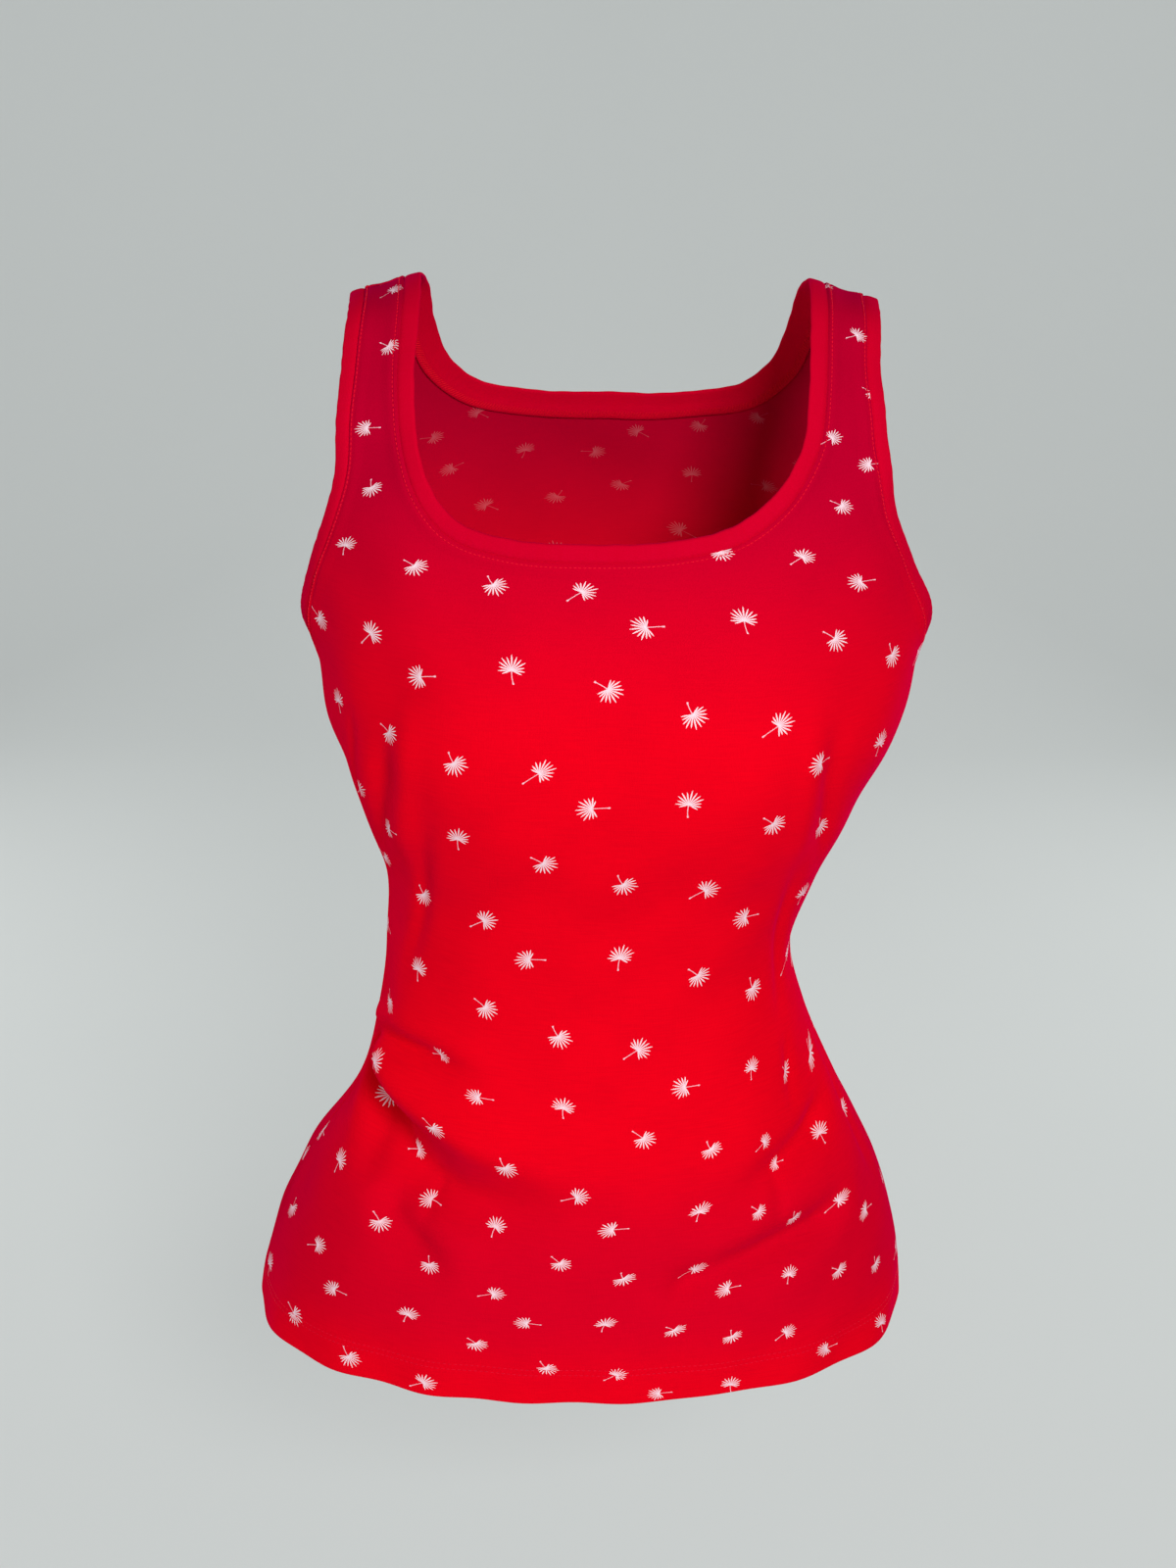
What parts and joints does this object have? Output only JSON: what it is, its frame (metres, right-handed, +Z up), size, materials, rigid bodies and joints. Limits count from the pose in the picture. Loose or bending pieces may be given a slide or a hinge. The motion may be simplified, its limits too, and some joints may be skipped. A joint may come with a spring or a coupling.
{
  "type": "sleeveless scoop-neck tank top",
  "caption": "Sleeveless cotton jersey top with a scoop neck, wide straps, folded bands at the neck and armholes, and a small scattered seed-head print, standing open as it is worn.",
  "frame": {"origin": "midway between the two shoulder seams, at their height by the neck, where the wearer's shoulders hold the top up", "axes": "+Z up, the front faces -Y, and the wearer's left is +X"},
  "size_m": [0.373, 0.242, 0.5793],
  "materials": {
    "printed_jersey": "fine single jersey with a small pinkish white seed-head print",
    "plain_jersey": "plain jersey folded in two"
  },
  "bodies": {
    "root": {"front_panel": "printed_jersey", "back_panel": "printed_jersey", "neck_band": "plain_jersey", "left_armhole_band": "plain_jersey", "right_armhole_band": "plain_jersey"}
  },
  "joints": []
}
